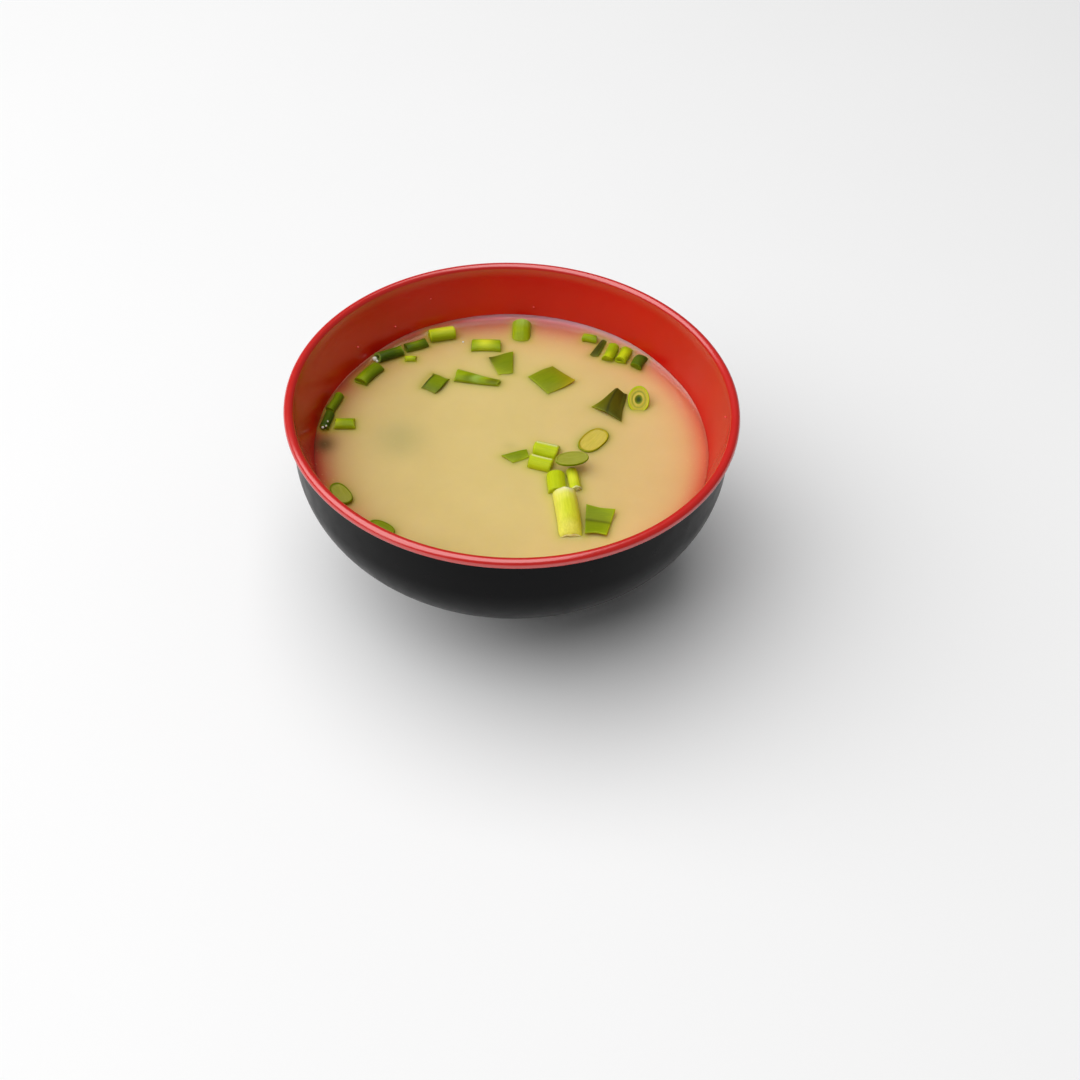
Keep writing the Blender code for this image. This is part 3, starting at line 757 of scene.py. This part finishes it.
SHORES = (
    Shore(0.5, srgb(216, 94, 68), srgb(214, 94, 70), 4.4),
    Shore(1.1, srgb(255, 132, 110), srgb(202, 86, 68), 4.8),
    Shore(1.9, srgb(250, 144, 150), srgb(190, 82, 74), 7.0),
    Shore(1.9, srgb(252, 134, 142), srgb(190, 80, 78), 7.6),
    Shore(1.6, srgb(236, 96, 84), srgb(176, 74, 62), 6.2),
    Shore(0.6, srgb(240, 118, 96), srgb(168, 58, 40), 5.4),
    Shore(0.3, srgb(140, 40, 22), srgb(164, 48, 30), 5.0),
    Shore(0.5, srgb(200, 62, 46), srgb(204, 64, 44), 4.2),
    *[Shore(0.5, srgb(200, 70, 50), srgb(206, 80, 56), 3.4)] * 4,
)
LINE_REACH = 0.5  # how far in the climbing edge keeps its colour, in shares of its climb
EDGE_FADE_POWER = 1.4
ONION_FADE = 1.0 * MM


def round_shore(field, azimuth):
    """One of the shores' values, blended round the bowl."""
    values = np.array([getattr(shore, field) for shore in SHORES])
    at = azimuth / TURN * len(SHORES) % len(SHORES)
    low = at.astype(int) % len(SHORES)
    part = at - np.floor(at)
    part = part * part * (3 - 2 * part)
    if values.ndim == 2:
        part = part[:, None]
    return values[low] * (1 - part) + values[(low + 1) % len(SHORES)] * part


def soup_edge(azimuth):
    """How far from the axis the broth's climbing edge is, and how far over the broth."""
    climb = round_shore("climb", azimuth) * MM
    return wall_radius(SOUP_LEVEL + climb), climb


def soup_rings():
    """Rings of points from the middle of the soup's top over the meniscus and down inside the wall."""
    azimuth = np.linspace(0, TURN, SOUP_SIDES, endpoint=False)
    edge, climb = soup_edge(azimuth)
    fine = np.geomspace(0.12 * MM, SOUP_STEP, 9).cumsum()
    steps = np.arange(fine[-1] + SOUP_STEP, edge.min(), SOUP_STEP)
    inward = np.concatenate([[edge.max()], steps[::-1], fine[::-1], [0.0]])[:, None]
    r = edge * (1 - inward / edge.max())
    z = SOUP_LEVEL + climb * np.exp(-(edge - r) / MENISCUS_REACH)
    wall = [point for point in inside_line(INTO_WALL) if point[1] < SOUP_LEVEL]
    wall = np.array(wall[::2] + [wall[-1]])[:, :, None] + 0 * azimuth
    r = np.concatenate([r, edge[None] + INTO_WALL, wall[:, 0]])
    z = np.concatenate([z, SOUP_LEVEL + climb[None] + 0.05 * MM, wall[:, 1]])
    return np.stack([r * np.cos(azimuth), r * np.sin(azimuth), z], axis=2)


def tint_soup(points):
    """Broth colour at each point: the wall's red through the shallow edge, painted shade towards the left, a
    painted reflection on the climbing edge at the back, and what is sunk in it.
    """
    x, y = points[:, 0], points[:, 1]
    azimuth = np.arctan2(y, x)
    edge, climb = soup_edge(azimuth)
    across = np.clip(x / edge, -1, 1)
    # Painted shade: the broth darkens towards the left.
    tint = mix(np.tile(BROTH, (len(points), 1)), BROTH_LEFT_SHADED, np.clip(-across, 0, 1) ** 1.3)
    tint = mix(tint, BROTH_RIGHT, np.clip(across, 0, 1) ** 1.3)
    inward = np.clip(edge - np.hypot(x, y), 0, None)
    fade = (inward / MM / round_shore("fade", azimuth)) ** EDGE_FADE_POWER
    # The wall's red through the shallow broth, darkest on the left as painted shade, then the climbing edge
    # with its painted reflection at the back.
    tint = mix(tint, round_shore("shallow", azimuth), np.exp(-fade))
    tint = mix(tint, round_shore("line", azimuth), np.exp(-((inward / climb / LINE_REACH) ** 4)))
    for patch in SUNK:
        away = np.hypot((x / MM - patch.x) / patch.half_x, (y / MM - patch.y) / patch.half_y)
        tint = mix(tint, patch.colour, patch.strength * np.exp(-(away**2) * 1.4))
    return tint


def onion_near(points, shape):
    """For each point near a piece of onion, the distance to it and its shade there; else far and none."""
    world, faces, tint = shape
    tree = BVHTree.FromPolygons([Vector(p) for p in world], faces)
    low, high = world.min(axis=0) - 5 * MM, world.max(axis=0) + 5 * MM
    away = np.full(len(points), 1.0)
    shade = np.zeros((len(points), 3))
    for k in np.nonzero(np.all((points > low) & (points < high), axis=1))[0]:
        index, distance = tree.find_nearest(Vector(points[k]))[2:]
        away[k] = distance
        shade[k] = tint[list(faces[index])].mean(axis=0)
    return away, shade


def make_soup(material):
    points, faces = capped_grid(soup_rings())
    tint = tint_soup(points)
    on_top = points[:, 2] > SOUP_LEVEL - 0.01 * MM
    for shape in onion_shapes:
        away, shade = onion_near(points, shape)
        # Round each piece the broth takes the onion's green seen through it, lightened towards the glow
        # colour: painted light in place of light scattered round the piece, which also softens its shadow.
        tint = mix(tint, mix(shade, GREENS["glow"], 0.55), 0.7 * np.exp(-away / ONION_FADE))
        points[on_top, 2] += ONION_CLIMB * np.exp(-away[on_top] / ONION_CLIMB_REACH)
    add_piece("miso_broth", points, faces, material, "soup", tint)


# Beads of water at cut ends and one bubble on the broth, near white as painted glints in place of clear
# water: middle in millimetres from the bowl's axis and over the broth, and radius.
BEADS = (
    (-38.9, 29.9, 0.9, 0.65),
    (-38.2, 29.1, 0.8, 0.40),
    (-49.0, 0.9, 1.3, 0.35),
    (-48.2, 1.3, 1.5, 0.30),
    (-47.9, 2.6, 1.9, 0.25),
    (-15.5, 40.0, 0.0, 0.30),
)
# Splashes on the wall: heading from +X in degrees, height in millimetres over the table, and radius.
SPLASHES = (
    (131.0, 46.2, 0.30),
    (146.0, 46.6, 0.35),
    (86.0, 45.6, 0.28),
    (0.0, 53.2, 0.30),
    (118.0, 50.4, 0.22),
)
SPLASH_SINK = 0.1  # how far a splash's middle is inside the wall, in millimetres
SPLASH_FLATNESS = 0.7
# The beads' near-white colour is a painted glint.
BEAD_GLINT_COLOUR = srgb(238, 240, 226)
SPLASH_COLOUR = RED * 1.2 + 0.06


def make_beads(materials):
    """Small round beads, and flatter ones on the wall, each a piece of its own."""
    beads = [("bead", x, y, SOUP_LEVEL / MM + z, radius, 1.0) for x, y, z, radius in BEADS]
    for azimuth, height, radius in SPLASHES:
        turn = math.radians(azimuth)
        reach = wall_radius(height * MM) / MM - SPLASH_SINK
        middle = (reach * math.cos(turn), reach * math.sin(turn), height)
        beads.append(("splash", *middle, radius, SPLASH_FLATNESS))
    for count, (name, x, y, z, radius, flat) in enumerate(beads):
        rings = arc((0, 0), radius, -90, 90, 10)
        ball = turned([(max(r, 0.0), h * flat) for r, h in rings], 20)
        points, faces = capped_grid((ball + np.array([x, y, z])) * MM)
        add_piece(f"{name}_{count}", points, faces, materials[name], None)


# ---------------------------------------------------------------- studio


CAMERA_PLACE = Vector((0.0084, -0.2668, 0.2873))
CAMERA_DOWN = 46.63
CAMERA_ROLL = 2.64
CAMERA_SENSOR = 36.0
CAMERA_LENS = 46.67
KEY_DIRECTION = Vector((-0.42, -0.06, 0.90))
KEY_DISTANCE = 1.5
KEY_WIDTH = 2.2
KEY_DEPTH = 2.6
KEY_RADIANCE = 2.28
SKY = 0.12
FLOOR_HALF = 4.0


def make_camera():
    down, roll = math.radians(CAMERA_DOWN), math.radians(CAMERA_ROLL)
    tip = Matrix.Rotation(math.radians(90) - down, 4, "X")
    data = bpy.data.cameras.new("camera")
    data.sensor_width = CAMERA_SENSOR
    data.lens = CAMERA_LENS
    data.clip_start = 0.01
    camera = bpy.data.objects.new("camera", data)
    camera.matrix_world = Matrix.Translation(CAMERA_PLACE) @ tip @ Matrix.Rotation(roll, 4, "Z")
    bpy.context.scene.collection.objects.link(camera)
    bpy.context.scene.camera = camera


def make_softbox():
    """A rectangular area light that faces the soup."""
    data = bpy.data.lights.new("key", "AREA")
    data.shape = "RECTANGLE"
    data.size = KEY_WIDTH
    data.size_y = KEY_DEPTH
    data.energy = KEY_RADIANCE * math.pi * KEY_WIDTH * KEY_DEPTH
    light = bpy.data.objects.new("key", data)
    light.location = Vector((0, 0, SOUP_LEVEL)) + KEY_DIRECTION.normalized() * KEY_DISTANCE
    light.rotation_euler = KEY_DIRECTION.to_track_quat("Z", "Y").to_euler()
    light.visible_camera = False
    bpy.context.scene.collection.objects.link(light)


def make_floor():
    mesh = bpy.data.meshes.new("floor")
    a = FLOOR_HALF
    mesh.from_pydata([(-a, -a, 0), (a, -a, 0), (a, a, 0), (-a, a, 0)], [], [(0, 1, 2, 3)])
    floor = bpy.data.objects.new("floor", mesh)
    material, tree, shader = new_material("floor")
    place = add_node(tree, "ShaderNodeNewGeometry").outputs["Position"]
    shade = mix_colour(tree, noise(tree, place, 8.0), (0.93, 0.93, 0.93, 1), (0.95, 0.95, 0.95, 1))
    tree.links.new(shade, shader.inputs["Base Color"])
    shader.inputs["Roughness"].default_value = 0.8
    mesh.materials.append(material)
    bpy.context.scene.collection.objects.link(floor)


def make_studio():
    world = bpy.data.worlds.new("studio")
    world.use_nodes = True
    world.node_tree.nodes["Background"].inputs["Color"].default_value = (1.0, 1.0, 1.0, 1.0)
    world.node_tree.nodes["Background"].inputs["Strength"].default_value = SKY
    bpy.context.scene.world = world
    make_softbox()
    make_floor()
    bpy.context.scene.view_settings.view_transform = "Standard"


make_camera()
make_studio()
red_melamine = melamine("red_melamine", RED, 0.04, 0.22, 1.0)
polish_lip(red_melamine)
make_bowl_lining(red_melamine)
make_bowl_shell(melamine("black_melamine", BLACK, 0.1, 0.32, 1.0, 1.1))
onion = onion_material()
for tube in TUBES:
    make_tube(tube, onion)
for stalk in STALKS:
    make_stalk(stalk, onion)
for oval in SLICES:
    make_slice(oval, THIN_SLICE, onion)
make_slice(SliceLook("slice_round", 90, 30, 2.0, ROUND_STOPS, "onion_pale"), ROUND_RINGS, onion)
for leaf in LEAVES:
    make_leaf(leaf, onion)
make_soup(broth_material())
make_beads({
    "bead": melamine("water_bead_glint", BEAD_GLINT_COLOUR, 0.0, 0.1, 0.5),
    "splash": melamine("splash", SPLASH_COLOUR, 0.0, 0.1, 0.5),
})
